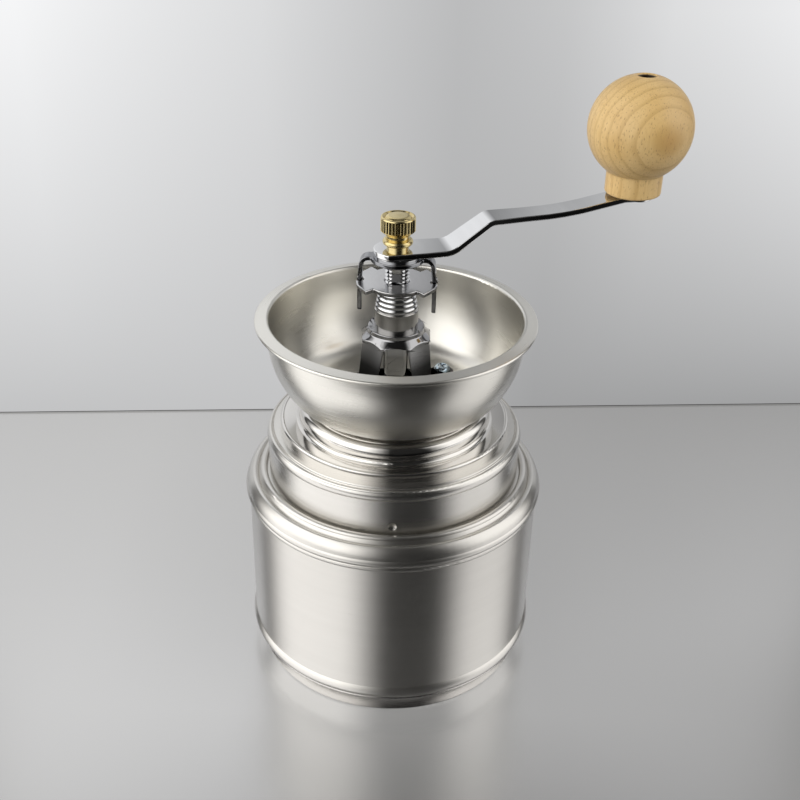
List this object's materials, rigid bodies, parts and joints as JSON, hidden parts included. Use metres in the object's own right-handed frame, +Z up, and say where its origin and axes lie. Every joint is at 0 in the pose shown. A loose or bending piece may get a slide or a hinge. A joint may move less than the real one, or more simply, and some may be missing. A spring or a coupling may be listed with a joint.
{
  "type": "manual coffee grinder",
  "caption": "Hand cranked conical burr coffee grinder: an open bean bowl and mill head with a steel crank and beech knob, seated in a steel cup that catches the ground coffee",
  "frame": {"origin": "middle of the cup's flat bottom, on the table", "axes": "+Z up along the spindle; -Y is the front; the crank points to +X and 13.6 degrees to the back"},
  "size_m": [0.1479, 0.106, 0.2086],
  "materials": {
    "brushed_steel": "horizontally brushed stainless steel",
    "polished_steel": "polished stainless steel",
    "chrome": "bright chrome plate",
    "burr_steel": "hardened steel, as ground",
    "zinc": "blue zinc plate",
    "brass": "turned brass, satin",
    "beech": "turned beech, clear waxed"
  },
  "bodies": {
    "receiver": {"receiver_cup": "brushed_steel", "cup_base": "polished_steel"},
    "head": {"upper_shell": "polished_steel", "neck_collar": "polished_steel", "hopper_bowl": "brushed_steel", "mill_housing": "chrome", "top_bushing": "brushed_steel", "outer_burr": "burr_steel", "lower_bridge": "brushed_steel", "housing_screws": "zinc", "lock_washers": "zinc", "screw_nuts": "zinc"},
    "wheel": {"wheel_hub": "chrome", "adjusting_wheel": "chrome"},
    "spindle": {"drive_spindle": "chrome", "inner_burr": "burr_steel", "burr_washer": "zinc", "burr_nut": "zinc"},
    "bracket": {"lock_bracket": "chrome"},
    "crank": {"crank_arm": "chrome", "crank_washer": "polished_steel", "knob_pin": "zinc"},
    "nut": {"cap_nut": "brass"},
    "knob": {"knob": "beech"}
  },
  "joints": [
    {"name": "head_lift", "type": "slide", "parent": "receiver", "child": "head", "axis": [0, 0, 1], "range_m": [0, 0.035]},
    {"name": "crank_turn", "type": "hinge", "parent": "head", "child": "wheel", "pos_m": [0, 0, 0.135], "axis": [0, 0, 1], "continuous": true},
    {"name": "burr_gap", "type": "slide", "parent": "wheel", "child": "spindle", "axis": [0, 0, 1], "range_m": [0, 0.0008]},
    {"name": "crank_lift", "type": "slide", "parent": "spindle", "child": "crank", "axis": [0, 0, 1], "range_m": [0, 0.022]},
    {"name": "bracket_lift", "type": "slide", "parent": "spindle", "child": "bracket", "axis": [0, 0, 1], "range_m": [0, 0.0135]},
    {"name": "nut_lift", "type": "slide", "parent": "spindle", "child": "nut", "axis": [0, 0, 1], "range_m": [0, 0.03]},
    {"name": "knob_spin", "type": "hinge", "parent": "crank", "child": "knob", "pos_m": [0.07776, 0.01881, 0.17], "axis": [0, 0, 1], "continuous": true}
  ],
  "couplings": [
    {"joint": "bracket_lift", "follows": "crank_lift", "ratio": 0.6},
    {"joint": "nut_lift", "follows": "crank_lift", "ratio": 1.35}
  ]
}
